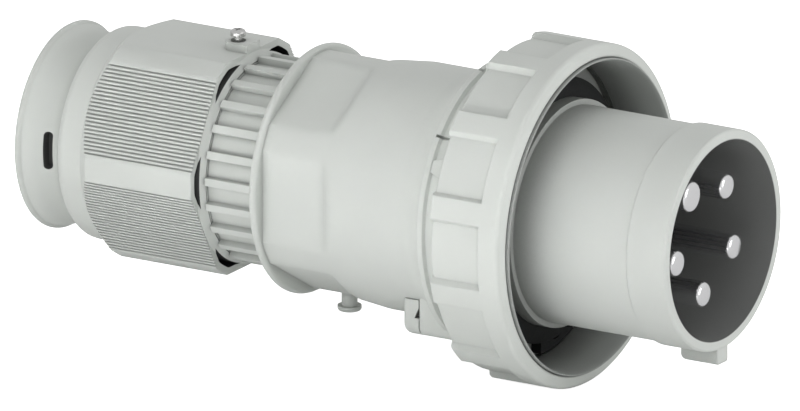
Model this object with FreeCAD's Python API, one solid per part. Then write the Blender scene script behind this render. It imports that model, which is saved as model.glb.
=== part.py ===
import FreeCAD, Part
import math
import os
from FreeCAD import Vector

# A five pole industrial plug for 125 ampere circuits, all sizes in millimetres.
# The plug axis is X, the pins point to +X and the key of the shroud points down (-Z).
# The origin lies on the axis in the plane of the shroud's mouth, so most x values are negative.
# Clock angles are seen from the front of the plug: 0 is +Z and +90 is +Y.

# Running gap between parts that turn on each other, and play between parts that are assembled
RUN_GAP = 0.3
FIT_PLAY = 0.1

# Shroud around the pins
SHROUD_BORE_R = 38.0
SHROUD_WALL = 2.85
RIM_STEP = 0.95
RIM_BAND_END_X = -16.4
RIM_ROUND = 0.8
SHROUD_END_X = -66.0
KEY_WIDTH = 7.5
KEY_REACH_R = 47.4
KEY_FRONT_X = -0.3
KEY_LENGTH = 16.0
KEY_ROUND = 2.2

# Base of the front housing, with its screw flange and the spigot for the rear housing
BASE_WALL = 2.2
SEAT_SHOULDER_X = -64.6
CARRIER_STEP = 2.6
CARRIER_R = SHROUD_BORE_R + CARRIER_STEP
SPIGOT_WALL = 5.4
SPIGOT_R = CARRIER_R + SPIGOT_WALL
SPIGOT_LENGTH = 7.9
FLANGE_FRONT_X = -81.7
FLANGE_THICKNESS = 2.8
FLANGE_REACH = 11.4
FLANGE_R = SPIGOT_R + FLANGE_REACH
SEAL_CORD = 1.5
SEAL_GROOVE_GAP = 1.6

# Contact carrier and its plate
CARRIER_NOSE_X = -61.4
CARRIER_FLANGE_INSET = 0.8
CARRIER_FLANGE_R = SPIGOT_R - CARRIER_FLANGE_INSET
CARRIER_FLANGE_THICKNESS = 3.0
PLATE_THICKNESS = 3.0

# Contact pins
PIN_CIRCLE_R = 21.6
PIN_STEP_DEG = 72.0
EARTH_CLOCK_DEG = -30.0
PHASE_PIN_R = 5.0
EARTH_PIN_R = 6.0
PIN_TIP_X = -5.9
PIN_TIP_ROUND = 0.4
PIN_ROOT_STEP = 0.4
PIN_FOOT_GAP = 0.2
BARREL_R = 7.7
BARREL_COLLAR_R = 8.6
BARREL_COLLAR_LENGTH = 4.0
BARREL_FRONT_X = -72.0
BARREL_END_X = -114.0
WIRE_BORE_R = 5.6
WIRE_BORE_DEPTH = 22.0
CLAMP_SCREW_R = 2.5
CLAMP_SCREW_X = -105.5
CLAMP_SCREW_PROUD = 1.5
HEX_KEY_SIZE = 2.5

# Screws that hold the carrier and the two housings
CARRIER_SCREW_OUTSET = 2.1
CARRIER_SCREW_CIRCLE_R = CARRIER_R + CARRIER_SCREW_OUTSET
CARRIER_SCREW_R = 1.45
CARRIER_SCREW_HEAD_R = 2.7
CARRIER_SCREW_HEAD = 2.0
CARRIER_SCREW_BITE = 7.0
CARRIER_SCREW_COUNT = 3
FLANGE_SCREW_OUTSET = 3.6
FLANGE_SCREW_CIRCLE_R = SPIGOT_R + FLANGE_SCREW_OUTSET
FLANGE_SCREW_CLOCK_DEG = 170.0
FLANGE_SCREW_COUNT = 4
FLANGE_SCREW_R = 1.95
FLANGE_SCREW_HEAD_R = 3.4
FLANGE_SCREW_HEAD = 2.2
FLANGE_SCREW_BITE = 12.0
SCREW_HOLE_PLAY = 0.3
THREAD_FIT = 0.05

# Flat rubber gasket that the socket's collar presses on
GASKET_THICKNESS = 2.7
GASKET_INSET = 0.8
GASKET_R = FLANGE_R - GASKET_INSET
GASKET_HOLE_R = 3.8
GASKET_NOTCH_WIDTH = 8.6
GASKET_NOTCH_DEPTH = 5.5
GASKET_NOTCH_CLOCK_DEG = -175.0

# Locking ring with twelve ribs and sunk panels, and the bayonet liner inside it
RING_FRONT_X = -57.7
RING_CLEARANCE = 2.3
RING_BORE_R = FLANGE_R + RING_CLEARANCE
PANEL_WALL = 2.6
PANEL_R = RING_BORE_R + PANEL_WALL
RING_RIB_HEIGHT = 2.55
RING_R = PANEL_R + RING_RIB_HEIGHT
RING_RIM_ROUND = 1.8
RING_FACE_WIDTH = 1.0
RING_FACE_R = RING_BORE_R + RING_FACE_WIDTH
RING_FACE_SLOPE = 0.9
RIM_EDGE = 0.5
PANEL_FRONT_X = -67.4
RING_REAR_X = -88.7
RIB_REAR_X = -88.9
RING_RIB_COUNT = 12
RING_RIB_DEG = 7.4
RING_RIB_CLOCK_DEG = -16.0
RIB_END_ROUND = 1.6
RIB_FLANK = 1.0
LINER_FRONT_X = -55.5
LINER_WALL_FRONT = 1.4
LINER_WALL_REAR = 2.4
LEDGE_THICKNESS = 4.2
LEDGE_REACH = 9.3
LEDGE_R = RING_BORE_R - LEDGE_REACH
LEDGE_INNER_DEG = (54.5, 165.0)
LEDGE_OUTER_DEG = (28.0, 179.0)

# Rear housing: collar, lip, grip with six flats, disc, ribbed neck
BAND_WALL = 6.5
BAND_R = SPIGOT_R + BAND_WALL
LIP_RISE = 1.4
LIP_R = BAND_R + LIP_RISE
LIP_FRONT_X = -96.9
LIP_REAR_X = -100.5
COLLAR_FILLET_END_X = -112.0
GRIP_R = 46.5
TAPER_START_X = -133.2
TAPER_END_X = -147.8
FLATS_R = 44.95
FLAT_APOTHEM = 41.35
FLAT_START_X = -147.5
FLAT_RUN_OUT_DEG = 53.0
FLAT_COUNT = 6
FLAT_CLOCK_DEG = 30.0
DISC_FRONT_X = -174.0
DISC_REAR_X = -177.0
DISC_R = 47.0
DISC_ROUND = 1.4
HOUSING_WALL = 3.6
CHAMBER_STEP_X = -101.8
NECK_R = 36.6
NECK_RIB_HEIGHT = 2.45
NECK_RIB_R = NECK_R + NECK_RIB_HEIGHT
NECK_RIB_COUNT = 24
NECK_RIB_WIDTH = 3.0
NECK_RIB_CLOCK_DEG = 1.3
NECK_RIB_END_X = -200.5
NECK_COLLAR_RISE = 0.7
NECK_COLLAR_R = NECK_R + NECK_COLLAR_RISE
NECK_COLLAR_END_X = -207.5
THREAD_R = 35.6
THREAD_START_X = -209.0
NECK_END_X = -236.0
NECK_CHAMFER = 1.4
NECK_BORE_R = 31.0
NECK_THROAT_R = 27.0
NECK_SEAT_X = -216.0

# Marks on the collar band
MARK_GROOVE_CLOCK_DEG = -48.8
MARK_GROOVE_WIDTH = 1.2
MARK_GROOVE_DEPTH = 1.0
MARK_GROOVE_REACH = 2.4
LIP_NOTCH_CLOCK_DEG = -10.5
LIP_NOTCH_WIDTH = 1.8
MARK_CLOCK_DEG = -61.5
MARK_HEIGHT = 0.9
MARK_REAR_WIDTH = 4.6
MARK_FRONT_WIDTH = 9.0
MARK_LENGTH = 6.5

# Corner ears at the lower side of the collar and the catches behind them
EAR_HALF_WIDTH = 34.6
EAR_BOTTOM_Z = -46.1
EAR_TOP_Z = -30.9
EAR_INNER_Y = 22.0
EAR_ROUND = 4.5
EAR_REAR_X = -110.2
CATCH_LENGTH = 7.6
CATCH_SEAM = 0.4
CATCH_ROUND = 3.2
CATCH_SLOT_TOP_Z = -34.8
CATCH_SLOT_BOTTOM_Z = -38.8
CATCH_SLOT_DEPTH = 1.8
CATCH_TOP_SLOT = 0.8

# Mushroom stud for the strap of a cap, under the grip
STUD_X = -161.4
STUD_NECK_R = 3.0
STUD_HEAD_R = 4.5
STUD_HEAD_TOP_Z = -50.6
STUD_BOTTOM_Z = -52.6

# Cable seal and clamp inside the neck
CABLE_R = 21.5
GROMMET_END_X = -230.0
GROMMET_RING_COUNT = 4
GROMMET_RING_DEPTH = 1.6
CAGE_BASE = 4.0
CAGE_END_X = -243.5
CAGE_R_END = 28.8
CAGE_WALL = 4.2
CAGE_FINGER_COUNT = 12
CAGE_SLOT_WIDTH = 2.4
THRUST_THICKNESS = 2.4
THRUST_BORE_R = 25.0

# Gland nut: hexagon with cut corners, fine grooves, crescent pockets, rounded shoulder
NUT_FRONT_X = -203.0
NUT_STRIP_END_X = -248.6
NUT_CHAMFER = 5.1
NUT_SHOULDER_R = 40.0
NUT_REAR_X = -265.4
NUT_REAR_ROUND = 4.5
NUT_APOTHEM = 41.0
NUT_CORNER_R = 45.05
NUT_STRIP_DEG = 11.3
NUT_BORE_R = NECK_COLLAR_R + RUN_GAP
NUT_POCKET_WALL = 2.65
NUT_POCKET_INNER_R = 39.7
NUT_POCKET_OUTER_R = 42.2
NUT_POCKET_DEPTH = 12.0
GROOVE_COUNT = 24
GROOVE_WIDTH = 0.75
GROOVE_DEPTH = 0.55
GROOVED_FACES_DEG = (-120, -60, 60, 120)
NUT_STEP_R = 34.0
NUT_THROAT_R = 27.5
NUT_WEB = 2.7
BELL_SEAT_R = 31.9
BEAD_X = -254.5
BEAD_WIDTH = 2.6
BEAD_HEIGHT = 0.8

# Boss and lock screw on the top face of the nut
BOSS_R = 4.8
BOSS_TOP_Z = 44.0
LOCK_SCREW_X = -209.6
LOCK_BORE_R = 3.05
LOCK_BORE_DEPTH = 4.0
LOCK_SCREW_R = 1.5
LOCK_HEAD_R = 2.9
LOCK_HEAD = 2.4
LOCK_HEAD_LIFT = 1.9
LOCK_TIP_Z = 38.6
CROSS_WIDTH = 0.8
CROSS_DEPTH = 1.1

# Bell mouth
BELL_INNER_X = -249.8
BELL_FLARE_X = -266.5
BELL_TURN_X = -276.5
BELL_TURN_R = 36.4
BELL_RIM_X = -282.5
BELL_RIM_R = 38.9
BELL_WALL = 2.5
BELL_RIM_WALL = 1.5
BELL_SLOT_X = -271.6
BELL_SLOT_WIDTH = 3.1
BELL_SLOT_LENGTH = 15.5
BELL_SLOT_COUNT = 2

AXIS = Vector(1, 0, 0)
CENTRE = Vector(0, 0, 0)
FULL_TURN = 360.0


# A point in the plane through the axis, at distance r from it
def at(x, r):
    return Vector(x, 0, r)


# Closed wire through (x, r) points; a middle point marked "arc" makes a curved stretch
def outline_wire(points):
    edges = []
    index = 0
    count = len(points)
    while index < count:
        start = at(*points[index])
        following = points[(index + 1) % count]
        if following[0] == "arc":
            middle = at(*following[1])
            end = at(*points[(index + 2) % count])
            edges.append(Part.Arc(start, middle, end).toShape())
            index += 2
        else:
            edges.append(Part.LineSegment(start, at(*following)).toShape())
            index += 1
    return Part.Wire(edges)


# Solid of revolution about the plug axis
def turned(points, span=FULL_TURN):
    face = Part.Face(outline_wire(points))
    return face.revolve(CENTRE, AXIS, span)


# Plain tube between two planes, or a rod when the bore is zero
def tube(front_x, rear_x, outer_r, bore_r=0.0):
    rod = Part.makeCylinder(outer_r, front_x - rear_x, Vector(rear_x, 0, 0), AXIS)
    if bore_r > 0:
        rod = rod.cut(Part.makeCylinder(bore_r, front_x - rear_x, Vector(rear_x, 0, 0), AXIS))
    return rod


# Copy of a shape turned from the top of the plug to a clock angle
def at_clock(shape, clock_deg):
    copy = shape.copy()
    copy.rotate(CENTRE, AXIS, -clock_deg)
    return copy


# Copies of a shape spread evenly around the axis
def spread(shape, count, first_deg=0.0):
    return [at_clock(shape, first_deg + FULL_TURN * i / count) for i in range(count)]


# Rod along the plug axis, at a distance above it
def offset_rod(front_x, rear_x, rod_r, height):
    return Part.makeCylinder(rod_r, front_x - rear_x, Vector(rear_x, 0, height), AXIS)


# Ring sector between two planes and two radii, centred on the top
def ring_sector(front_x, rear_x, outer_r, inner_r, span_deg):
    points = [(front_x, inner_r), (front_x, outer_r), (rear_x, outer_r), (rear_x, inner_r)]
    return at_clock(turned(points, span_deg), span_deg / 2)


# Box from its two corners
def block(low, high):
    return Part.makeBox(high[0] - low[0], high[1] - low[1], high[2] - low[2], Vector(*low))


# Regular hexagonal prism along the axis, one flat on top
def hexagon_prism(front_x, rear_x, apothem, turn_deg=0.0):
    corner = apothem / math.cos(math.pi / 6)
    points = []
    for i in range(7):
        angle = math.radians(30 + 60 * i + turn_deg)
        points.append(Vector(rear_x, corner * math.sin(angle), corner * math.cos(angle)))
    return Part.Face(Part.makePolygon(points)).extrude(Vector(front_x - rear_x, 0, 0))


# Rear faces that several parts meet at
FLANGE_REAR_X = FLANGE_FRONT_X - FLANGE_THICKNESS
SPIGOT_END_X = FLANGE_REAR_X - SPIGOT_LENGTH
CARRIER_REAR_X = SPIGOT_END_X - CARRIER_FLANGE_THICKNESS
PLATE_REAR_X = CARRIER_REAR_X - PLATE_THICKNESS
GASKET_FRONT_X = FLANGE_FRONT_X + GASKET_THICKNESS
LINER_REAR_X = GASKET_FRONT_X + RUN_GAP
SHROUD_R = SHROUD_BORE_R + SHROUD_WALL
BASE_R = CARRIER_R + FIT_PLAY + BASE_WALL
BAND_START_X = FLANGE_REAR_X


# Key rib under the shroud's rim, with a rounded rear corner
def shroud_key():
    rear_x = KEY_FRONT_X - KEY_LENGTH
    key = block((rear_x, -KEY_WIDTH / 2, -KEY_REACH_R), (KEY_FRONT_X, KEY_WIDTH / 2, -SHROUD_BORE_R - 1))
    rear_corner = [e for e in key.Edges if edge_is_at(e, rear_x, -KEY_REACH_R)]
    key = key.makeFillet(KEY_ROUND, rear_corner)
    side_edges = [e for e in key.Edges if abs(e.BoundBox.ZMax + KEY_REACH_R) < 0.01 and e.BoundBox.XLength > 5]
    return key.makeFillet(1.0, side_edges)


# True for an edge across the plug that lies at the given x and z
def edge_is_at(edge, x, z):
    box = edge.BoundBox
    flat = box.XLength < 0.01 and box.ZLength < 0.01
    return flat and abs(box.XMin - x) < 0.01 and abs(box.ZMin - z) < 0.01


# Shroud, base, screw flange and spigot, moulded in one piece
def front_housing():
    rim_r = SHROUD_R + RIM_STEP
    lean = RIM_ROUND * (1 - math.sqrt(0.5))
    groove_end_x = FLANGE_REAR_X - 2.4 - SEAL_GROOVE_GAP
    groove_r = SPIGOT_R - SEAL_CORD + 0.1
    shell = turned([
        (0, SHROUD_BORE_R),
        (0, rim_r - RIM_ROUND),
        ("arc", (-lean, rim_r - lean)),
        (-RIM_ROUND, rim_r),
        (RIM_BAND_END_X, rim_r),
        (RIM_BAND_END_X - RIM_STEP, SHROUD_R),
        (SHROUD_END_X, SHROUD_R),
        (SHROUD_END_X, BASE_R),
        (FLANGE_FRONT_X, BASE_R),
        (FLANGE_FRONT_X, FLANGE_R),
        (FLANGE_REAR_X, FLANGE_R),
        (FLANGE_REAR_X, SPIGOT_R),
        (groove_end_x + SEAL_GROOVE_GAP, SPIGOT_R),
        (groove_end_x + SEAL_GROOVE_GAP, groove_r),
        (groove_end_x, groove_r),
        (groove_end_x, SPIGOT_R),
        (SPIGOT_END_X, SPIGOT_R),
        (SPIGOT_END_X, CARRIER_R + FIT_PLAY),
        (SEAT_SHOULDER_X, CARRIER_R + FIT_PLAY),
        (SEAT_SHOULDER_X, SHROUD_BORE_R),
    ])
    shell = shell.fuse(shroud_key())
    clear_r = FLANGE_SCREW_R + SCREW_HOLE_PLAY
    through = offset_rod(FLANGE_FRONT_X + 1, FLANGE_REAR_X - 1, clear_r, FLANGE_SCREW_CIRCLE_R)
    pilot_r = CARRIER_SCREW_R + THREAD_FIT
    pilot_end_x = SPIGOT_END_X + CARRIER_SCREW_BITE + 1
    pilot = offset_rod(pilot_end_x, SPIGOT_END_X - 1, pilot_r, CARRIER_SCREW_CIRCLE_R)
    holes = spread(through, FLANGE_SCREW_COUNT, FLANGE_SCREW_CLOCK_DEG)
    holes += spread(pilot, CARRIER_SCREW_COUNT, 0)
    return shell.cut(Part.makeCompound(holes))


# Rubber cord ring in the spigot's groove
def housing_seal():
    centre_x = FLANGE_REAR_X - 2.4 - SEAL_GROOVE_GAP / 2
    cord_r = SEAL_CORD / 2
    return Part.makeTorus(SPIGOT_R + FIT_PLAY - cord_r, cord_r, Vector(centre_x, 0, 0), AXIS)


# Clock angles of the five pins, the earth pin first
def pin_clocks():
    return [EARTH_CLOCK_DEG + PIN_STEP_DEG * i for i in range(5)]


# Radius of the pin at one of the five places
def pin_radius(index):
    return EARTH_PIN_R if index == 0 else PHASE_PIN_R


# Turned contact pin with a step at its foot, its terminal barrel and clamping hole
def contact_pin(index):
    pin_r = pin_radius(index)
    lean = PIN_TIP_ROUND * (1 - math.sqrt(0.5))
    collar_x = CARRIER_REAR_X + BARREL_COLLAR_LENGTH
    foot_x = CARRIER_NOSE_X + PIN_FOOT_GAP
    pin = turned([
        (PIN_TIP_X, 0),
        (PIN_TIP_X, pin_r - PIN_TIP_ROUND),
        ("arc", (PIN_TIP_X - lean, pin_r - lean)),
        (PIN_TIP_X - PIN_TIP_ROUND, pin_r),
        (foot_x, pin_r),
        (foot_x, pin_r - PIN_ROOT_STEP),
        (BARREL_FRONT_X, pin_r - PIN_ROOT_STEP),
        (BARREL_FRONT_X, BARREL_R),
        (collar_x, BARREL_R),
        (collar_x, BARREL_COLLAR_R),
        (CARRIER_REAR_X, BARREL_COLLAR_R),
        (CARRIER_REAR_X, BARREL_R),
        (BARREL_END_X, BARREL_R),
        (BARREL_END_X, WIRE_BORE_R),
        (BARREL_END_X + WIRE_BORE_DEPTH, WIRE_BORE_R),
        (BARREL_END_X + WIRE_BORE_DEPTH, 0),
    ])
    thread_r = CLAMP_SCREW_R + THREAD_FIT
    hole = Part.makeCylinder(thread_r, BARREL_R + 2, Vector(CLAMP_SCREW_X, 0, 0), Vector(0, 0, 1))
    pin = pin.cut(hole)
    pin.translate(Vector(0, 0, PIN_CIRCLE_R))
    return at_clock(pin, pin_clocks()[index])


# Five socket set screws that clamp the wires, as separate solids
def terminal_screws():
    base_z = PIN_CIRCLE_R + WIRE_BORE_R - 1.2
    top_z = PIN_CIRCLE_R + BARREL_R + CLAMP_SCREW_PROUD
    foot = Vector(CLAMP_SCREW_X, 0, base_z)
    screw = Part.makeCylinder(CLAMP_SCREW_R, top_z - base_z, foot, Vector(0, 0, 1))
    socket = Part.makeCylinder(HEX_KEY_SIZE / 2, 2.0, Vector(CLAMP_SCREW_X, 0, top_z - 2.0), Vector(0, 0, 1))
    screw = screw.cut(socket)
    return Part.makeCompound([at_clock(screw, clock) for clock in pin_clocks()])


# Pocket in the carrier for one pin: close bore in front, barrel and collar behind
def pin_pocket(index):
    root_r = pin_radius(index) - PIN_ROOT_STEP
    front = offset_rod(CARRIER_NOSE_X + 1, BARREL_FRONT_X, root_r + FIT_PLAY, PIN_CIRCLE_R)
    barrel = offset_rod(BARREL_FRONT_X, CARRIER_REAR_X - 1, BARREL_R + FIT_PLAY, PIN_CIRCLE_R)
    collar_x = CARRIER_REAR_X + BARREL_COLLAR_LENGTH
    collar = offset_rod(collar_x, CARRIER_REAR_X - 1, BARREL_COLLAR_R + FIT_PLAY, PIN_CIRCLE_R)
    return at_clock(front.fuse(barrel).fuse(collar), pin_clocks()[index])


# Insulating carrier that seats on the shoulder behind the shroud
def contact_carrier():
    body = turned([
        (CARRIER_NOSE_X, 0),
        (CARRIER_NOSE_X, SHROUD_BORE_R - FIT_PLAY),
        (SEAT_SHOULDER_X, SHROUD_BORE_R - FIT_PLAY),
        (SEAT_SHOULDER_X, CARRIER_R),
        (SPIGOT_END_X, CARRIER_R),
        (SPIGOT_END_X, CARRIER_FLANGE_R),
        (CARRIER_REAR_X, CARRIER_FLANGE_R),
        (CARRIER_REAR_X, 0),
    ])
    cuts = [pin_pocket(i) for i in range(5)]
    clear_r = CARRIER_SCREW_R + SCREW_HOLE_PLAY
    hole = offset_rod(SPIGOT_END_X + 1, CARRIER_REAR_X - 1, clear_r, CARRIER_SCREW_CIRCLE_R)
    cuts += spread(hole, CARRIER_SCREW_COUNT, 0)
    return body.cut(Part.makeCompound(cuts))


# Plate behind the carrier that keeps the pins in
def carrier_plate():
    plate = tube(CARRIER_REAR_X, PLATE_REAR_X, CARRIER_FLANGE_R)
    barrel_hole = offset_rod(CARRIER_REAR_X + 1, PLATE_REAR_X - 1, BARREL_R + FIT_PLAY, PIN_CIRCLE_R)
    clear_r = CARRIER_SCREW_R + SCREW_HOLE_PLAY
    screw_hole = offset_rod(CARRIER_REAR_X + 1, PLATE_REAR_X - 1, clear_r, CARRIER_SCREW_CIRCLE_R)
    cuts = [at_clock(barrel_hole, clock) for clock in pin_clocks()]
    cuts += spread(screw_hole, CARRIER_SCREW_COUNT, 0)
    return plate.cut(Part.makeCompound(cuts))


# Three screws through plate and carrier into the front housing
def carrier_screws():
    head_end_x = PLATE_REAR_X - CARRIER_SCREW_HEAD
    head = offset_rod(PLATE_REAR_X, head_end_x, CARRIER_SCREW_HEAD_R, CARRIER_SCREW_CIRCLE_R)
    shank_end_x = SPIGOT_END_X + CARRIER_SCREW_BITE
    shank = offset_rod(shank_end_x, PLATE_REAR_X, CARRIER_SCREW_R, CARRIER_SCREW_CIRCLE_R)
    return Part.makeCompound(spread(head.fuse(shank), CARRIER_SCREW_COUNT, 0))


# Four screws from the flange into the rear housing
def flange_screws():
    head_top_x = FLANGE_FRONT_X + FLANGE_SCREW_HEAD
    head = offset_rod(head_top_x, FLANGE_FRONT_X, FLANGE_SCREW_HEAD_R, FLANGE_SCREW_CIRCLE_R)
    shank_end_x = FLANGE_REAR_X - FLANGE_SCREW_BITE + 1
    shank = offset_rod(FLANGE_FRONT_X, shank_end_x, FLANGE_SCREW_R, FLANGE_SCREW_CIRCLE_R)
    slot_low = (head_top_x - 1.1, -FLANGE_SCREW_HEAD_R - 1, FLANGE_SCREW_CIRCLE_R - 0.5)
    slot_high = (head_top_x + 1, FLANGE_SCREW_HEAD_R + 1, FLANGE_SCREW_CIRCLE_R + 0.5)
    screw = head.cut(block(slot_low, slot_high)).fuse(shank)
    return Part.makeCompound(spread(screw, FLANGE_SCREW_COUNT, FLANGE_SCREW_CLOCK_DEG))


# Gasket on the flange, open round the screw heads, with one square notch in its edge
def flange_gasket():
    gasket = tube(GASKET_FRONT_X, FLANGE_FRONT_X, GASKET_R, BASE_R + FIT_PLAY)
    hole = offset_rod(GASKET_FRONT_X + 1, FLANGE_FRONT_X - 1, GASKET_HOLE_R, FLANGE_SCREW_CIRCLE_R)
    cuts = spread(hole, FLANGE_SCREW_COUNT, FLANGE_SCREW_CLOCK_DEG)
    low = (FLANGE_FRONT_X - 1, -GASKET_NOTCH_WIDTH / 2, GASKET_R - GASKET_NOTCH_DEPTH)
    high = (GASKET_FRONT_X + 1, GASKET_NOTCH_WIDTH / 2, GASKET_R + 2)
    cuts.append(at_clock(block(low, high), GASKET_NOTCH_CLOCK_DEG))
    return gasket.cut(Part.makeCompound(cuts))


# Rib of the ring on top, with a rounded rear end and flanks that lean outwards at the foot
def ring_rib():
    lean = RIB_END_ROUND * (1 - math.sqrt(0.5))
    front_x = PANEL_FRONT_X + 1
    body = turned([
        (front_x, RING_BORE_R + 1),
        (front_x, RING_R),
        (RIB_REAR_X + RIB_END_ROUND, RING_R),
        ("arc", (RIB_REAR_X + lean, RING_R - lean)),
        (RIB_REAR_X, RING_R - RIB_END_ROUND),
        (RIB_REAR_X, RING_BORE_R + 1),
    ])
    half_top = RING_R * math.sin(math.radians(RING_RIB_DEG / 2))
    spread_rate = RIB_FLANK / (RING_R - PANEL_R)
    low_z = PANEL_R - 2
    half_low = half_top + (RING_R - low_z) * spread_rate
    wedge = Part.Face(Part.makePolygon([
        Vector(RIB_REAR_X - 1, -half_low, low_z),
        Vector(RIB_REAR_X - 1, half_low, low_z),
        Vector(RIB_REAR_X - 1, half_top, RING_R + 0.2),
        Vector(RIB_REAR_X - 1, -half_top, RING_R + 0.2),
        Vector(RIB_REAR_X - 1, -half_low, low_z),
    ])).extrude(Vector(front_x - RIB_REAR_X + 2, 0, 0))
    return body.common(wedge)


# Locking ring: rounded rim, sunk panels between ribs, and a lip behind the flange
def locking_ring():
    lip_front_x = FLANGE_REAR_X - RUN_GAP
    lip_r = BAND_R + RUN_GAP
    rim_lean = RING_RIM_ROUND * (1 - math.sqrt(0.5))
    face_end_x = RING_FRONT_X - RING_FACE_SLOPE
    shell = turned([
        (RING_FRONT_X - RIM_EDGE, RING_BORE_R),
        (RING_FRONT_X, RING_BORE_R + RIM_EDGE),
        (RING_FRONT_X, RING_FACE_R),
        (face_end_x, RING_R - RING_RIM_ROUND),
        ("arc", (face_end_x - rim_lean, RING_R - rim_lean)),
        (face_end_x - RING_RIM_ROUND, RING_R),
        (PANEL_FRONT_X + 0.4, RING_R),
        (PANEL_FRONT_X, RING_R - 0.4),
        (PANEL_FRONT_X, PANEL_R),
        (RING_REAR_X + 0.6, PANEL_R),
        (RING_REAR_X, PANEL_R - 0.6),
        (RING_REAR_X, lip_r),
        (lip_front_x, lip_r),
        (lip_front_x, RING_BORE_R),
    ])
    ribs = spread(ring_rib(), RING_RIB_COUNT, RING_RIB_CLOCK_DEG)
    return shell.fuse(ribs).removeSplitter()


# Point across the liner's rear face at a radius and a clock angle
def across(r, clock_deg):
    angle = math.radians(clock_deg)
    return Vector(LINER_REAR_X, r * math.sin(angle), r * math.cos(angle))


# Inward ledge with slanting ends that guide the socket's lugs behind it
def bayonet_ledge(outer_r):
    inner_first, inner_last = LEDGE_INNER_DEG
    outer_first, outer_last = LEDGE_OUTER_DEG
    inner_ends = [across(LEDGE_R, inner_first), across(LEDGE_R, inner_last)]
    outer_ends = [across(outer_r, outer_first), across(outer_r, outer_last)]
    inner_middle = across(LEDGE_R, (inner_first + inner_last) / 2)
    outer_middle = across(outer_r, (outer_first + outer_last) / 2)
    edges = [
        Part.Arc(inner_ends[0], inner_middle, inner_ends[1]).toShape(),
        Part.LineSegment(inner_ends[1], outer_ends[1]).toShape(),
        Part.Arc(outer_ends[1], outer_middle, outer_ends[0]).toShape(),
        Part.LineSegment(outer_ends[0], inner_ends[0]).toShape(),
    ]
    return Part.Face(Part.Wire(edges)).extrude(Vector(LEDGE_THICKNESS, 0, 0))


# Liner inside the ring, with a thin lip in front and two bayonet ledges behind
def bayonet_liner():
    outer_r = RING_BORE_R - FIT_PLAY
    rear_r = outer_r - LINER_WALL_REAR
    sleeve = turned([
        (LINER_FRONT_X, outer_r - LINER_WALL_FRONT),
        (LINER_FRONT_X, outer_r - 0.3),
        (LINER_FRONT_X - 0.3, outer_r),
        (LINER_REAR_X, outer_r),
        (LINER_REAR_X, rear_r),
    ])
    ledge = bayonet_ledge(rear_r + 0.5)
    return sleeve.fuse([ledge, at_clock(ledge, 180)]).removeSplitter()


# Outer shape of the rear housing before the flats are cut
def rear_housing_form():
    disc_lean = DISC_ROUND * (1 - math.sqrt(0.5))
    lip_top_x = LIP_FRONT_X - 0.8
    return turned([
        (BAND_START_X, 0),
        (BAND_START_X, BAND_R),
        (LIP_FRONT_X, BAND_R),
        (lip_top_x, LIP_R),
        (LIP_REAR_X + 1.0, LIP_R),
        ("arc", (LIP_REAR_X + 0.3, LIP_R - 0.3)),
        (LIP_REAR_X, LIP_R - 1.0),
        (LIP_REAR_X, LIP_R - 3.0),
        ("arc", (LIP_REAR_X - 4.0, GRIP_R + 1.2)),
        (COLLAR_FILLET_END_X, GRIP_R),
        (TAPER_START_X, GRIP_R),
        (TAPER_END_X, FLATS_R),
        (DISC_FRONT_X, FLATS_R),
        (DISC_FRONT_X, DISC_R - DISC_ROUND),
        ("arc", (DISC_FRONT_X - disc_lean, DISC_R - disc_lean)),
        (DISC_FRONT_X - DISC_ROUND, DISC_R),
        (DISC_REAR_X + DISC_ROUND, DISC_R),
        ("arc", (DISC_REAR_X + disc_lean, DISC_R - disc_lean)),
        (DISC_REAR_X, DISC_R - DISC_ROUND),
        (DISC_REAR_X, NECK_R),
        (NECK_RIB_END_X, NECK_R),
        (NECK_RIB_END_X, NECK_COLLAR_R),
        (NECK_COLLAR_END_X, NECK_COLLAR_R),
        (THREAD_START_X, THREAD_R),
        (NECK_END_X + NECK_CHAMFER, THREAD_R),
        (NECK_END_X, THREAD_R - NECK_CHAMFER),
        (NECK_END_X, 0),
    ])


# Room inside the rear housing, from the spigot seat to the cable seal
def rear_housing_room():
    chamber_r = GRIP_R - HOUSING_WALL
    flats_room_r = FLAT_APOTHEM - HOUSING_WALL
    return turned([
        (BAND_START_X + 1, 0),
        (BAND_START_X + 1, SPIGOT_R + FIT_PLAY),
        (CHAMBER_STEP_X, SPIGOT_R + FIT_PLAY),
        (CHAMBER_STEP_X - 2.5, chamber_r),
        (FLAT_START_X + 9, chamber_r),
        (FLAT_START_X + 2, flats_room_r),
        (DISC_FRONT_X + 4, flats_room_r),
        (DISC_REAR_X - 4, NECK_THROAT_R),
        (NECK_SEAT_X, NECK_THROAT_R),
        (NECK_SEAT_X, NECK_BORE_R),
        (NECK_END_X - 1, NECK_BORE_R),
        (NECK_END_X - 1, 0),
    ])


# Cutter for one grip flat: level along the grip, running out at a slope in front
def flat_cutter():
    rise = 12.0
    out = rise / math.tan(math.radians(FLAT_RUN_OUT_DEG))
    half = FLATS_R
    points = [
        Vector(DISC_FRONT_X, -half, FLAT_APOTHEM),
        Vector(FLAT_START_X, -half, FLAT_APOTHEM),
        Vector(FLAT_START_X + out, -half, FLAT_APOTHEM + rise),
        Vector(DISC_FRONT_X, -half, FLAT_APOTHEM + rise),
        Vector(DISC_FRONT_X, -half, FLAT_APOTHEM),
    ]
    return Part.Face(Part.makePolygon(points)).extrude(Vector(0, 2 * half, 0))


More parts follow.
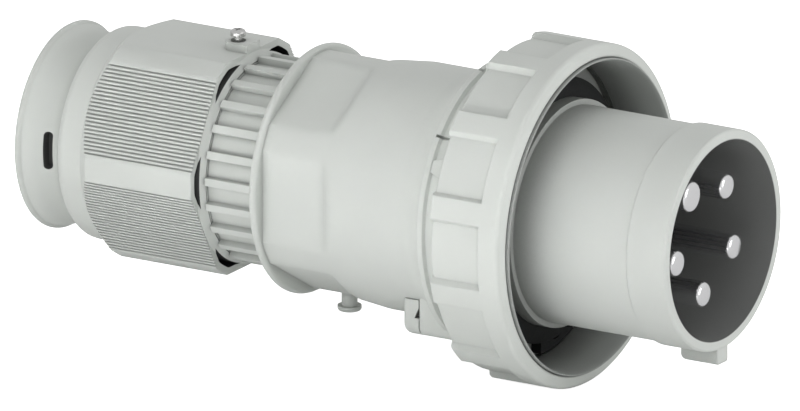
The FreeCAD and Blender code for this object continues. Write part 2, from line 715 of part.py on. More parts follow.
# Corner block of the ears and catches on one side of the plug
def corner_block(front_x, rear_x, side):
    low_y = EAR_INNER_Y if side > 0 else -EAR_HALF_WIDTH
    high_y = EAR_HALF_WIDTH if side > 0 else -EAR_INNER_Y
    corner = block((rear_x, low_y, EAR_BOTTOM_Z), (front_x, high_y, EAR_TOP_Z))
    outer_y = side * EAR_HALF_WIDTH
    lower = [e for e in corner.Edges if e.BoundBox.XLength > 1 and abs(e.BoundBox.ZMin - EAR_BOTTOM_Z) < 0.01]
    lower = [e for e in lower if abs(e.BoundBox.YMin - outer_y) < 0.01]
    return corner.makeFillet(EAR_ROUND, lower)


# Strap stud with a flat mushroom head
def strap_stud():
    neck_top_z = -FLAT_APOTHEM + 1
    down = Vector(0, 0, -1)
    neck = Part.makeCylinder(STUD_NECK_R, neck_top_z - STUD_HEAD_TOP_Z, Vector(STUD_X, 0, neck_top_z), down)
    head = Part.makeCylinder(STUD_HEAD_R, STUD_HEAD_TOP_Z - STUD_BOTTOM_Z, Vector(STUD_X, 0, STUD_HEAD_TOP_Z), down)
    rim = [e for e in head.Edges if abs(e.BoundBox.ZMax - STUD_BOTTOM_Z) < 0.01 and e.BoundBox.XLength > 1]
    return neck.fuse(head.makeFillet(0.9, rim))


# Raised mark on the collar band, wider towards the ring and following the band's curve
def collar_mark():
    rear_x = LIP_FRONT_X - 0.5
    front_x = rear_x + MARK_LENGTH
    low_z = BAND_R - 3
    mark = Part.Face(Part.makePolygon([
        Vector(rear_x, -MARK_REAR_WIDTH / 2, low_z),
        Vector(rear_x, MARK_REAR_WIDTH / 2, low_z),
        Vector(front_x, MARK_FRONT_WIDTH / 2, low_z),
        Vector(front_x, -MARK_FRONT_WIDTH / 2, low_z),
        Vector(rear_x, -MARK_REAR_WIDTH / 2, low_z),
    ])).extrude(Vector(0, 0, 6))
    mark = mark.common(tube(front_x + 1, rear_x - 1, BAND_R + MARK_HEIGHT, BAND_R - 1))
    return at_clock(mark, MARK_CLOCK_DEG)


# Rear housing with grip, collar, ears, mark, disc and ribbed neck
def rear_housing():
    form = rear_housing_form()
    form = form.cut(spread(flat_cutter(), FLAT_COUNT, FLAT_CLOCK_DEG))
    rib = block((NECK_RIB_END_X, -NECK_RIB_WIDTH / 2, NECK_R - 1), (DISC_REAR_X + 1, NECK_RIB_WIDTH / 2, NECK_RIB_R))
    adds = spread(rib, NECK_RIB_COUNT, NECK_RIB_CLOCK_DEG)
    adds += [corner_block(LIP_FRONT_X, EAR_REAR_X, side) for side in (-1, 1)]
    adds.append(strap_stud())
    adds.append(collar_mark())
    form = form.fuse(adds)
    cuts = [rear_housing_room()]
    groove_low = (LIP_FRONT_X - MARK_GROOVE_REACH, -MARK_GROOVE_WIDTH / 2, BAND_R - MARK_GROOVE_DEPTH)
    groove_high = (RING_REAR_X - 1, MARK_GROOVE_WIDTH / 2, BAND_R + 3)
    cuts.append(at_clock(block(groove_low, groove_high), MARK_GROOVE_CLOCK_DEG))
    notch_low = (LIP_REAR_X - 0.5, -LIP_NOTCH_WIDTH / 2, BAND_R - MARK_GROOVE_DEPTH)
    notch_high = (LIP_FRONT_X - 0.6, LIP_NOTCH_WIDTH / 2, BAND_R + 3)
    cuts.append(at_clock(block(notch_low, notch_high), LIP_NOTCH_CLOCK_DEG))
    hole_r = FLANGE_SCREW_R + THREAD_FIT
    hole = offset_rod(BAND_START_X + 1, BAND_START_X - FLANGE_SCREW_BITE, hole_r, FLANGE_SCREW_CIRCLE_R)
    cuts += spread(hole, FLANGE_SCREW_COUNT, FLANGE_SCREW_CLOCK_DEG)
    return form.cut(cuts).removeSplitter()


# Snap-in catch behind an ear, shaped to the round grip that it sits on
def housing_catch(side):
    front_x = EAR_REAR_X - CATCH_SEAM
    rear_x = front_x - CATCH_LENGTH
    catch = corner_block(front_x, rear_x, side)
    lower_rear = [e for e in catch.Edges if edge_is_at(e, rear_x, EAR_BOTTOM_Z)]
    catch = catch.makeFillet(CATCH_ROUND, lower_rear)
    seat = tube(front_x + 1, rear_x - 1, GRIP_R + THREAD_FIT)
    outer_y = side * EAR_HALF_WIDTH
    slot_y = outer_y - side * 6
    slot = Part.Face(Part.makePolygon([
        Vector(front_x + 0.01, slot_y, CATCH_SLOT_TOP_Z),
        Vector(front_x + 0.01, slot_y, CATCH_SLOT_BOTTOM_Z),
        Vector(front_x - CATCH_SLOT_DEPTH, slot_y, CATCH_SLOT_BOTTOM_Z),
        Vector(front_x + 0.01, slot_y, CATCH_SLOT_TOP_Z),
    ])).extrude(Vector(0, side * 7, 0))
    low_y = min(outer_y - side * 2.5, outer_y + side)
    top_low = (rear_x + 1.2, low_y, EAR_TOP_Z - CATCH_TOP_SLOT)
    top_high = (front_x + 1, low_y + 3.5, EAR_TOP_Z + 1)
    return catch.cut([seat, slot, block(top_low, top_high)])


# Rubber grommet round the cable, with sealing rings in its bore
def seal_grommet():
    outer_r = NECK_BORE_R - FIT_PLAY
    length = NECK_SEAT_X - GROMMET_END_X
    pitch = length / GROMMET_RING_COUNT
    points = [(NECK_SEAT_X, outer_r), (GROMMET_END_X, outer_r)]
    for i in range(GROMMET_RING_COUNT):
        ring_x = GROMMET_END_X + pitch * i
        points.append((ring_x, CABLE_R + GROMMET_RING_DEPTH))
        points.append((ring_x + pitch / 2, CABLE_R))
    points.append((NECK_SEAT_X, CABLE_R + GROMMET_RING_DEPTH))
    return turned(points)


# Clamping cage: base ring with fingers that the nut closes on the cable
def clamp_cage():
    outer_r = NECK_BORE_R - FIT_PLAY
    base_end_x = GROMMET_END_X - CAGE_BASE
    cage = turned([
        (GROMMET_END_X, outer_r - CAGE_WALL),
        (GROMMET_END_X, outer_r),
        (base_end_x, outer_r),
        (CAGE_END_X, CAGE_R_END),
        (CAGE_END_X, CAGE_R_END - CAGE_WALL),
    ])
    slot_low = (CAGE_END_X - 1, -CAGE_SLOT_WIDTH / 2, CABLE_R)
    slot_high = (base_end_x, CAGE_SLOT_WIDTH / 2, outer_r + 1)
    return cage.cut(spread(block(slot_low, slot_high), CAGE_FINGER_COUNT, 0))


THRUST_FRONT_X = CAGE_END_X - RUN_GAP
THRUST_REAR_X = THRUST_FRONT_X - THRUST_THICKNESS
NUT_WEB_FRONT_X = THRUST_REAR_X - RUN_GAP
NUT_WEB_REAR_X = NUT_WEB_FRONT_X - NUT_WEB


# Thrust ring between the turning nut and the cage, which slides but doesn't turn
def thrust_ring():
    return tube(THRUST_FRONT_X, THRUST_REAR_X, NUT_STEP_R - RUN_GAP, THRUST_BORE_R)


# Cross section of the nut: hexagon, cut corners, fine grooves on four faces
def nut_section():
    half_strip = math.radians(NUT_STRIP_DEG / 2)
    half_face = NUT_CORNER_R * math.sin(math.radians(30) - half_strip)
    pitch = 2 * half_face / (GROOVE_COUNT + 1)
    points = []
    for face_deg in range(0, 360, 60):
        signed_deg = face_deg if face_deg <= 180 else face_deg - 360
        local = [(-half_face, NUT_APOTHEM)]
        if signed_deg in GROOVED_FACES_DEG:
            for i in range(GROOVE_COUNT):
                across = -half_face + pitch * (i + 1)
                local.append((across - GROOVE_WIDTH / 2, NUT_APOTHEM))
                local.append((across, NUT_APOTHEM - GROOVE_DEPTH))
                local.append((across + GROOVE_WIDTH / 2, NUT_APOTHEM))
        local.append((half_face, NUT_APOTHEM))
        angle = math.radians(face_deg)
        for across, height in local:
            y = across * math.cos(angle) + height * math.sin(angle)
            z = height * math.cos(angle) - across * math.sin(angle)
            points.append(Vector(NUT_REAR_X, y, z))
    points.append(points[0])
    return Part.Face(Part.makePolygon(points))


# Turned envelope that rounds the nut's shoulder and runs the faces out
def nut_envelope():
    rear_r = NUT_SHOULDER_R - NUT_REAR_ROUND
    lean = NUT_REAR_ROUND * (1 - math.sqrt(0.5))
    chamfer_end_x = NUT_STRIP_END_X - NUT_CHAMFER
    top_r = NUT_SHOULDER_R + NUT_CHAMFER
    return turned([
        (NUT_FRONT_X, 0),
        (NUT_FRONT_X, NUT_CORNER_R - 0.4),
        (NUT_FRONT_X - 0.8, NUT_CORNER_R + 1),
        (NUT_STRIP_END_X + 1, NUT_CORNER_R + 1),
        (chamfer_end_x + top_r - NUT_SHOULDER_R, top_r),
        (chamfer_end_x, NUT_SHOULDER_R),
        (NUT_REAR_X + NUT_REAR_ROUND, NUT_SHOULDER_R),
        ("arc", (NUT_REAR_X + lean, NUT_SHOULDER_R - lean)),
        (NUT_REAR_X, rear_r),
        (NUT_REAR_X, 0),
    ])


# Stepped bore of the nut, with a groove for the bead of the bell mouth
def nut_room():
    bead_half = BEAD_WIDTH / 2 + FIT_PLAY
    bead_r = BELL_SEAT_R + BEAD_HEIGHT
    return turned([
        (NUT_FRONT_X + 1, 0),
        (NUT_FRONT_X + 1, NUT_BORE_R),
        (NECK_COLLAR_END_X - RUN_GAP, NUT_BORE_R),
        (THREAD_START_X - RUN_GAP, THREAD_R + FIT_PLAY),
        (NECK_END_X - RUN_GAP, THREAD_R + FIT_PLAY),
        (NECK_END_X - RUN_GAP, NUT_STEP_R),
        (NUT_WEB_FRONT_X, NUT_STEP_R),
        (NUT_WEB_FRONT_X, NUT_THROAT_R),
        (NUT_WEB_REAR_X, NUT_THROAT_R),
        (NUT_WEB_REAR_X, BELL_SEAT_R),
        (BEAD_X + bead_half, BELL_SEAT_R),
        (BEAD_X + bead_half, bead_r),
        (BEAD_X - bead_half, bead_r),
        (BEAD_X - bead_half, BELL_SEAT_R),
        (NUT_REAR_X - 1, BELL_SEAT_R),
        (NUT_REAR_X - 1, 0),
    ])


# Six crescent pockets in the front face, cored out behind the corners
def nut_pockets():
    end_x = NUT_FRONT_X - NUT_POCKET_DEPTH
    core = hexagon_prism(NUT_FRONT_X + 1, end_x, NUT_APOTHEM - NUT_POCKET_WALL)
    core = core.common(tube(NUT_FRONT_X + 1, end_x, NUT_POCKET_OUTER_R))
    return core.cut(tube(NUT_FRONT_X + 2, end_x - 1, NUT_POCKET_INNER_R))


# Boss on the nut's top face that carries the lock screw
def lock_boss():
    low_z = NUT_APOTHEM - 1
    round_end = Part.makeCylinder(BOSS_R, BOSS_TOP_Z - low_z, Vector(LOCK_SCREW_X, 0, low_z), Vector(0, 0, 1))
    straight = block((LOCK_SCREW_X, -BOSS_R, low_z), (NUT_FRONT_X, BOSS_R, BOSS_TOP_Z))
    return round_end.fuse(straight).removeSplitter()


# Gland nut with shoulder, pockets, grooves and lock screw boss
def gland_nut():
    nut = nut_section().extrude(Vector(NUT_FRONT_X - NUT_REAR_X, 0, 0))
    nut = nut.common(nut_envelope()).fuse(lock_boss())
    up = Vector(0, 0, 1)
    bore_z = BOSS_TOP_Z - LOCK_BORE_DEPTH
    bore = Part.makeCylinder(LOCK_BORE_R, LOCK_BORE_DEPTH + 1, Vector(LOCK_SCREW_X, 0, bore_z), up)
    thread_r = LOCK_SCREW_R + THREAD_FIT
    thread = Part.makeCylinder(thread_r, BOSS_TOP_Z, Vector(LOCK_SCREW_X, 0, NECK_BORE_R), up)
    return nut.cut([nut_room(), nut_pockets(), bore, thread])


# Lock screw with a raised pan head and a cross recess
def lock_screw():
    up = Vector(0, 0, 1)
    head_z = BOSS_TOP_Z + LOCK_HEAD_LIFT
    top_z = head_z + LOCK_HEAD
    shank = Part.makeCylinder(LOCK_SCREW_R, head_z - LOCK_TIP_Z, Vector(LOCK_SCREW_X, 0, LOCK_TIP_Z), up)
    head = Part.makeCylinder(LOCK_HEAD_R, LOCK_HEAD, Vector(LOCK_SCREW_X, 0, head_z), up)
    rim = [e for e in head.Edges if abs(e.BoundBox.ZMin - top_z) < 0.01 and e.BoundBox.XLength > 1]
    head = head.makeFillet(1.2, rim)
    reach = LOCK_HEAD_R * 0.62
    cross = []
    for half_x, half_y in ((reach, CROSS_WIDTH / 2), (CROSS_WIDTH / 2, reach)):
        low = (LOCK_SCREW_X - half_x, -half_y, top_z - CROSS_DEPTH)
        high = (LOCK_SCREW_X + half_x, half_y, top_z + 1)
        cross.append(block(low, high))
    return head.fuse(shank).cut(cross)


# Oblong slot through the bell's flare, for a strap
def bell_slot():
    half_angle = math.degrees((BELL_SLOT_LENGTH - BELL_SLOT_WIDTH) / 2 / 35.0)
    front_x = BELL_SLOT_X + BELL_SLOT_WIDTH / 2
    rear_x = BELL_SLOT_X - BELL_SLOT_WIDTH / 2
    slot = ring_sector(front_x, rear_x, 39.0, 28.0, 2 * half_angle)
    end = Part.makeCylinder(BELL_SLOT_WIDTH / 2, 11.0, Vector(BELL_SLOT_X, 0, 28.0), Vector(0, 0, 1))
    return slot.fuse([at_clock(end, half_angle), at_clock(end, -half_angle)])


# Bell mouth that keeps the cable from kinking, snapped into the nut
def bell_mouth():
    sleeve_r = BELL_SEAT_R - FIT_PLAY
    bead_half = BEAD_WIDTH / 2
    bead_r = sleeve_r + BEAD_HEIGHT
    inner_r = sleeve_r - BELL_WALL
    bell = turned([
        (BELL_INNER_X, inner_r),
        (BELL_INNER_X, sleeve_r),
        (BEAD_X + bead_half, sleeve_r),
        (BEAD_X + bead_half, bead_r - 0.4),
        (BEAD_X + bead_half - 0.6, bead_r),
        (BEAD_X - bead_half, bead_r),
        (BEAD_X - bead_half, sleeve_r),
        (BELL_FLARE_X, sleeve_r),
        ("arc", (BELL_SLOT_X, sleeve_r + 1.7)),
        (BELL_TURN_X, BELL_TURN_R),
        ("arc", (BELL_TURN_X - 3.3, BELL_TURN_R + 0.9)),
        (BELL_RIM_X, BELL_RIM_R),
        ("arc", (BELL_RIM_X - BELL_RIM_WALL / 2, BELL_RIM_R - BELL_RIM_WALL / 2)),
        (BELL_RIM_X, BELL_RIM_R - BELL_RIM_WALL),
        ("arc", (BELL_TURN_X - 2.6, BELL_TURN_R - 0.9)),
        (BELL_TURN_X + 0.6, BELL_TURN_R - BELL_WALL + 0.4),
        ("arc", (BELL_SLOT_X + 0.8, inner_r + 1.2)),
        (BELL_FLARE_X, inner_r),
    ])
    return bell.cut(spread(bell_slot(), BELL_SLOT_COUNT, 90))


PIN_NAMES = ("pin_earth", "pin_line_1", "pin_line_2", "pin_line_3", "pin_neutral")


# Every part of the plug by its node name
def all_parts():
    parts = {
        "front_housing": front_housing(),
        "housing_seal": housing_seal(),
        "contact_carrier": contact_carrier(),
        "carrier_plate": carrier_plate(),
        "carrier_screws": carrier_screws(),
        "terminal_screws": terminal_screws(),
        "flange_screws": flange_screws(),
        "flange_gasket": flange_gasket(),
        "locking_ring": locking_ring(),
        "bayonet_liner": bayonet_liner(),
        "rear_housing": rear_housing(),
        "housing_catch_left": housing_catch(-1),
        "housing_catch_right": housing_catch(1),
        "seal_grommet": seal_grommet(),
        "clamp_cage": clamp_cage(),
        "thrust_ring": thrust_ring(),
        "gland_nut": gland_nut(),
        "lock_screw": lock_screw(),
        "bell_mouth": bell_mouth(),
    }
    for index, name in enumerate(PIN_NAMES):
        parts[name] = contact_pin(index)
    return parts


os.makedirs("parts", exist_ok=True)
for name, shape in all_parts().items():
    shape.exportStep(os.path.join("parts", name + ".step"))
    print(name, "solids", len(shape.Solids), "valid", shape.isValid(), "volume", round(shape.Volume))
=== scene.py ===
import bmesh
import bpy
import math
from mathutils import Matrix, Vector


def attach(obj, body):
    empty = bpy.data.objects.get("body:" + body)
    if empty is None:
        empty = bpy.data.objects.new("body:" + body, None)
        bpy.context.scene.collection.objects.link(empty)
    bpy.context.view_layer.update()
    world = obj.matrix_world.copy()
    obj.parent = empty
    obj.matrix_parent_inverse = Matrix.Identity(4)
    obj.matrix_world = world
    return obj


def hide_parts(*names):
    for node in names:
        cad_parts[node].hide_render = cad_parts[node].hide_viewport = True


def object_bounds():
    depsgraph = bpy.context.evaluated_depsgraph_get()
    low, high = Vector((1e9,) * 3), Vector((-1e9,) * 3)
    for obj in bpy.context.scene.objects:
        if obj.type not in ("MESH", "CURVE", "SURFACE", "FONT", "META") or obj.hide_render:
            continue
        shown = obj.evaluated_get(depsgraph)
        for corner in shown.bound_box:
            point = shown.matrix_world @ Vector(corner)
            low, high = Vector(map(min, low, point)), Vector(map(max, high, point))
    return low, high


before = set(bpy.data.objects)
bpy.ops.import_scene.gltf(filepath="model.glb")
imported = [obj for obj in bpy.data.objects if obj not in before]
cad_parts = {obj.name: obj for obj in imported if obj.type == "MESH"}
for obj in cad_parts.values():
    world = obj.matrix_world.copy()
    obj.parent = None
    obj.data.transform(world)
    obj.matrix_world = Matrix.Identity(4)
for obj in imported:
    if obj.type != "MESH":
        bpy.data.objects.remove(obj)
cad_low, cad_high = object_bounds()
MM = 0.001

# Camera. The plug is seen from its front left and a little from above, without
# perspective, as in a catalogue picture, so its round edges look equal front and rear.
VIEW_WIDTH = 0.29577
CAMERA_DISTANCE = 1.5
to_right = Vector((0.85535308, 0.51804546, 0.0))
to_top = Vector((-0.15333078, 0.25316689, 0.95519432))
to_viewer = Vector((0.49483408, -0.81702841, 0.2959794))
camera_place = to_right * -0.11942 + to_top * 0.01302 + to_viewer * CAMERA_DISTANCE
camera_data = bpy.data.cameras.new("camera")
camera_data.type = "ORTHO"
camera_data.ortho_scale = VIEW_WIDTH
camera_data.clip_start = 0.1
camera_data.clip_end = 50.0
camera = bpy.data.objects.new("camera", camera_data)
bpy.context.scene.collection.objects.link(camera)
bpy.context.scene.camera = camera
camera.matrix_world = Matrix((
    (to_right.x, to_top.x, to_viewer.x, camera_place.x),
    (to_right.y, to_top.y, to_viewer.y, camera_place.y),
    (to_right.z, to_top.z, to_viewer.z, camera_place.z),
    (0.0, 0.0, 0.0, 1.0),
))
bpy.context.scene.view_settings.view_transform = "Standard"


# Photo table. A pale floor under the lowest rib of the locking ring, seen as plain
# white, and soft light from all round with a weak broad lamp on the viewer's side, a lamp before the mouth and a narrow
# lamp above the floor.
def seen_directly(nodes, links):
    path = nodes.new("ShaderNodeLightPath")
    seen = nodes.new("ShaderNodeMath")
    seen.operation = "MAXIMUM"
    links.new(path.outputs["Is Camera Ray"], seen.inputs[0])
    links.new(path.outputs["Is Transmission Ray"], seen.inputs[1])
    return seen.outputs[0]


world = bpy.data.worlds.new("soft_room")
bpy.context.scene.world = world
world.use_nodes = True
world_nodes, world_links = world.node_tree.nodes, world.node_tree.links
world_nodes.clear()
world_out = world_nodes.new("ShaderNodeOutputWorld")
room_light = world_nodes.new("ShaderNodeBackground")
room_light.inputs["Color"].default_value = (1.0, 1.0, 1.0, 1.0)
room_light.inputs["Strength"].default_value = 0.7
white_back = world_nodes.new("ShaderNodeBackground")
white_back.inputs["Color"].default_value = (1.0, 1.0, 1.0, 1.0)
white_back.inputs["Strength"].default_value = 1.0
world_mix = world_nodes.new("ShaderNodeMixShader")
world_links.new(seen_directly(world_nodes, world_links), world_mix.inputs["Fac"])
world_links.new(room_light.outputs[0], world_mix.inputs[1])
world_links.new(white_back.outputs[0], world_mix.inputs[2])
world_links.new(world_mix.outputs[0], world_out.inputs["Surface"])

FLOOR_SIZE = 40.0
bpy.ops.mesh.primitive_plane_add(size=FLOOR_SIZE, location=(0.0, 0.0, cad_low.z))
floor = bpy.context.object
floor.name = "floor"
floor_paper = bpy.data.materials.new("floor_paper")
floor_paper.use_nodes = True
paper_nodes, paper_links = floor_paper.node_tree.nodes, floor_paper.node_tree.links
paper_nodes.clear()
paper_out = paper_nodes.new("ShaderNodeOutputMaterial")
paper = paper_nodes.new("ShaderNodeBsdfDiffuse")
paper.inputs["Color"].default_value = (0.86, 0.86, 0.86, 1.0)
glow = paper_nodes.new("ShaderNodeEmission")
glow.inputs["Color"].default_value = (1.0, 1.0, 1.0, 1.0)
glow.inputs["Strength"].default_value = 0.92
paper_both = paper_nodes.new("ShaderNodeAddShader")
paper_mix = paper_nodes.new("ShaderNodeMixShader")
paper_links.new(paper.outputs[0], paper_both.inputs[0])
paper_links.new(glow.outputs[0], paper_both.inputs[1])
paper_links.new(seen_directly(paper_nodes, paper_links), paper_mix.inputs["Fac"])
paper_links.new(paper.outputs[0], paper_mix.inputs[1])
paper_links.new(paper_both.outputs[0], paper_mix.inputs[2])
paper_links.new(paper_mix.outputs[0], paper_out.inputs["Surface"])
floor.data.materials.append(floor_paper)


def soft_lamp(name, place, aim, size, power, spread_deg=180.0):
    lamp_data = bpy.data.lights.new(name, "AREA")
    lamp_data.shape = "DISK"
    lamp_data.size = size
    lamp_data.energy = power
    lamp_data.spread = math.radians(spread_deg)
    lamp = bpy.data.objects.new(name, lamp_data)
    bpy.context.scene.collection.objects.link(lamp)
    lamp.location = place
    lamp.rotation_mode = "QUATERNION"
    lamp.rotation_quaternion = (Vector(aim) - Vector(place)).to_track_quat("-Z", "Y")
    return lamp


plug_middle = Vector((-0.14, 0.0, 0.0))
soft_lamp("front_lamp", plug_middle + Vector((0.1, -1.3, 0.1)), plug_middle, 1.2, 0.3)
soft_lamp("mouth_lamp", plug_middle + Vector((1.4, 0.1, 0.2)), plug_middle, 0.8, 5.0)
soft_lamp("floor_lamp", Vector((-0.14, -0.72, 0.95)), Vector((-0.14, -0.719, 0.0)), 0.5, 10.0, 56.0)


# Front housing. Shroud, key, screw flange and spigot are one moulding of pale grey
# polyamide with the fine satin grain of a spark-eroded mould. The wall inside the
# shroud is painted a darker grey as shade, and painted shade darkens its corners.
def grain_and_tint(material, colour, grain, rough, edge, tint_spread=0.02):
    nodes, links = material.node_tree.nodes, material.node_tree.links
    surface = nodes["Principled BSDF"]
    place = nodes.new("ShaderNodeTexCoord")
    flow = nodes.new("ShaderNodeTexNoise")
    flow.inputs["Scale"].default_value = 22.0
    flow.inputs["Detail"].default_value = 3.0
    tint = nodes.new("ShaderNodeValToRGB")
    tint.color_ramp.elements[0].position = 0.35
    tint.color_ramp.elements[0].color = [c * (1.0 - tint_spread) for c in colour] + [1.0]
    tint.color_ramp.elements[1].position = 0.65
    tint.color_ramp.elements[1].color = [min(1.0, c * (1.0 + tint_spread)) for c in colour] + [1.0]
    links.new(place.outputs["Object"], flow.inputs["Vector"])
    links.new(flow.outputs["Fac"], tint.inputs["Fac"])
    satin = nodes.new("ShaderNodeTexNoise")
    satin.inputs["Scale"].default_value = 900.0
    satin.inputs["Detail"].default_value = 2.0
    links.new(place.outputs["Object"], satin.inputs["Vector"])
    gloss_range = nodes.new("ShaderNodeMapRange")
    gloss_range.inputs["To Min"].default_value = rough - 0.06
    gloss_range.inputs["To Max"].default_value = rough + 0.06
    links.new(satin.outputs["Fac"], gloss_range.inputs["Value"])
    links.new(gloss_range.outputs[0], surface.inputs["Roughness"])
    soft_edge = nodes.new("ShaderNodeBevel")
    soft_edge.name = "soft_edge"
    soft_edge.samples = 6
    soft_edge.inputs["Radius"].default_value = edge
    relief = nodes.new("ShaderNodeBump")
    relief.inputs["Strength"].default_value = grain
    relief.inputs["Distance"].default_value = 0.4 * MM
    links.new(soft_edge.outputs[0], relief.inputs["Normal"])
    links.new(satin.outputs["Fac"], relief.inputs["Height"])
    links.new(relief.outputs[0], surface.inputs["Normal"])
    return place.outputs["Object"], tint.outputs["Color"]


# Painted shade: an ambient-occlusion node darkens the colour in corners, creases and recesses, down to the darkest
# factor.
def painted_corner_shade(material, colour_output, reach, darkest):
    nodes, links = material.node_tree.nodes, material.node_tree.links
    corner = nodes.new("ShaderNodeAmbientOcclusion")
    corner.samples = 8
    corner.inputs["Distance"].default_value = reach
    strength = nodes.new("ShaderNodeMapRange")
    strength.name = "painted_shade_strength"
    strength.inputs["From Min"].default_value = 0.15
    strength.inputs["From Max"].default_value = 0.85
    strength.inputs["To Min"].default_value = darkest
    strength.inputs["To Max"].default_value = 1.0
    corner_shade_mix = nodes.new("ShaderNodeMix")
    corner_shade_mix.data_type = "RGBA"
    corner_shade_mix.blend_type = "MULTIPLY"
    corner_shade_mix.inputs["Factor"].default_value = 1.0
    links.new(corner.outputs["AO"], strength.inputs["Value"])
    links.new(colour_output, corner_shade_mix.inputs["A"])
    links.new(strength.outputs[0], corner_shade_mix.inputs["B"])
    return corner_shade_mix.outputs["Result"]


def wider_rounding(material, part, from_mm, to_mm, thin, wide):
    nodes, links = material.node_tree.nodes, material.node_tree.links
    place = nodes.new("ShaderNodeTexCoord")
    parts = nodes.new("ShaderNodeSeparateXYZ")
    links.new(place.outputs["Object"], parts.inputs[0])
    size = nodes.new("ShaderNodeMapRange")
    size.interpolation_type = "SMOOTHSTEP"
    size.inputs["From Min"].default_value = from_mm * MM
    size.inputs["From Max"].default_value = to_mm * MM
    size.inputs["To Min"].default_value = thin
    size.inputs["To Max"].default_value = wide
    links.new(parts.outputs[part], size.inputs["Value"])
    links.new(size.outputs[0], nodes["soft_edge"].inputs["Radius"])
    return size, parts


def radius_mask(material, place_output, inside_mm, outside_mm):
    nodes, links = material.node_tree.nodes, material.node_tree.links
    across = nodes.new("ShaderNodeVectorMath")
    across.operation = "MULTIPLY"
    across.inputs[1].default_value = (0.0, 1.0, 1.0)
    size = nodes.new("ShaderNodeVectorMath")
    size.operation = "LENGTH"
    mask = nodes.new("ShaderNodeMapRange")
    mask.inputs["From Min"].default_value = inside_mm * MM
    mask.inputs["From Max"].default_value = outside_mm * MM
    links.new(place_output, across.inputs[0])
    links.new(across.outputs[0], size.inputs[0])
    links.new(size.outputs["Value"], mask.inputs["Value"])
    return mask.outputs[0]


def moulded_plastic(name, colour, grain=0.05, rough=0.5, corner_reach=6 * MM, corner_dark=0.45, edge=0.35 * MM):
    material = bpy.data.materials.new(name)
    material.use_nodes = True
    surface = material.node_tree.nodes["Principled BSDF"]
    place, tint = grain_and_tint(material, colour, grain, rough, edge)
    # Every moulded plastic gets painted shade in its corners and recesses.
    shaded_tint = painted_corner_shade(material, tint, corner_reach, corner_dark)
    material.node_tree.links.new(shaded_tint, surface.inputs["Base Color"])
    surface.inputs["Specular IOR Level"].default_value = 0.3
    return material


def finish_nodes(names, material):
    for name in names:
        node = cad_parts[name]
        node.data.materials.clear()
        node.data.materials.append(material)


PALE_GREY = (0.63, 0.655, 0.625)
SHROUD_WALL_PAINTED_SHADE = (0.21, 0.215, 0.21)
# Painted shade reaches 22 mm on the shroud, so it darkens towards the locking ring.
shroud_plastic = moulded_plastic("shroud_plastic", PALE_GREY, corner_reach=22 * MM, corner_dark=0.3)
shroud_nodes, shroud_links = shroud_plastic.node_tree.nodes, shroud_plastic.node_tree.links
shroud_surface = shroud_nodes["Principled BSDF"]
outer_colour = shroud_surface.inputs["Base Color"].links[0].from_socket
# Painted shade: the wall inside the shroud, within 38.05 mm of the axis, is painted a darker grey.
shroud_place = shroud_nodes.new("ShaderNodeTexCoord")
inside_shade_mix = shroud_nodes.new("ShaderNodeMix")
inside_shade_mix.data_type = "RGBA"
inside_shade_mix.inputs["A"].default_value = list(SHROUD_WALL_PAINTED_SHADE) + [1.0]
shroud_links.new(radius_mask(shroud_plastic, shroud_place.outputs["Object"], 38.05, 38.3), inside_shade_mix.inputs["Factor"])
shroud_links.new(outer_colour, inside_shade_mix.inputs["B"])
shroud_links.new(inside_shade_mix.outputs["Result"], shroud_surface.inputs["Base Color"])
wider_rounding(shroud_plastic, "Z", -40.5, -41.5, 0.35 * MM, 1.6 * MM)
finish_nodes(["front_housing"], shroud_plastic)


# Contact carrier and its plate. They are pressed from black heat-resistant compound,
# matt and slightly speckled, and sit at the bottom of the shroud.
carrier_compound = moulded_plastic("carrier_compound", (0.02, 0.02, 0.02), grain=0.1, rough=0.6)
finish_nodes(["contact_carrier", "carrier_plate"], carrier_compound)


# Shapes turned or drawn about the plug's axis, all in millimetres: a closed outline
# of (x, radius) points gives a ring, an open one that starts and ends on a flat gives
# a rod, and an outline of (clock, radius) points drawn along the axis gives a bar.
def axis_point(x, radius, clock_deg):
    angle = math.radians(clock_deg)
    return Vector((x, radius * math.sin(angle), radius * math.cos(angle))) * MM


def piece_from(bm, name):
    bmesh.ops.remove_doubles(bm, verts=bm.verts, dist=1e-7)
    bmesh.ops.recalc_face_normals(bm, faces=bm.faces)
    mesh = bpy.data.meshes.new(name)
    bm.to_mesh(mesh)
    bm.free()
    piece = bpy.data.objects.new(name, mesh)
    bpy.context.scene.collection.objects.link(piece)
    return piece


def turned_piece(name, outline, closed, steps=160):
    bm = bmesh.new()
    rings = []
    for x, radius in outline:
        rings.append([bm.verts.new(axis_point(x, radius, 360.0 * k / steps)) for k in range(steps)])
    pairs = list(zip(rings, rings[1:]))
    if closed:
        pairs.append((rings[-1], rings[0]))
    for first, second in pairs:
        for k in range(steps):
            m = (k + 1) % steps
            bm.faces.new((first[k], first[m], second[m], second[k]))
    if not closed:
        bm.faces.new(rings[0])
        bm.faces.new(list(reversed(rings[-1])))
    return piece_from(bm, name)


def drawn_bar(name, points, front_x, rear_x):
    bm = bmesh.new()
    front = [bm.verts.new((front_x * MM, y * MM, z * MM)) for y, z in points]
    rear = [bm.verts.new((rear_x * MM, y * MM, z * MM)) for y, z in points]
    bm.faces.new(front)
    bm.faces.new(list(reversed(rear)))
    for k in range(len(points)):
        m = (k + 1) % len(points)
        bm.faces.new((front[k], front[m], rear[m], rear[k]))
    return piece_from(bm, name)


def combine(piece, tool, operation):
    step = piece.modifiers.new(operation.lower(), "BOOLEAN")
    step.operation = operation
    step.solver = "EXACT"
    step.object = tool
    shaped = piece.evaluated_get(bpy.context.evaluated_depsgraph_get())
    mesh = bpy.data.meshes.new_from_object(shaped)
    piece.modifiers.clear()
    piece.data = mesh
    bpy.data.objects.remove(tool)


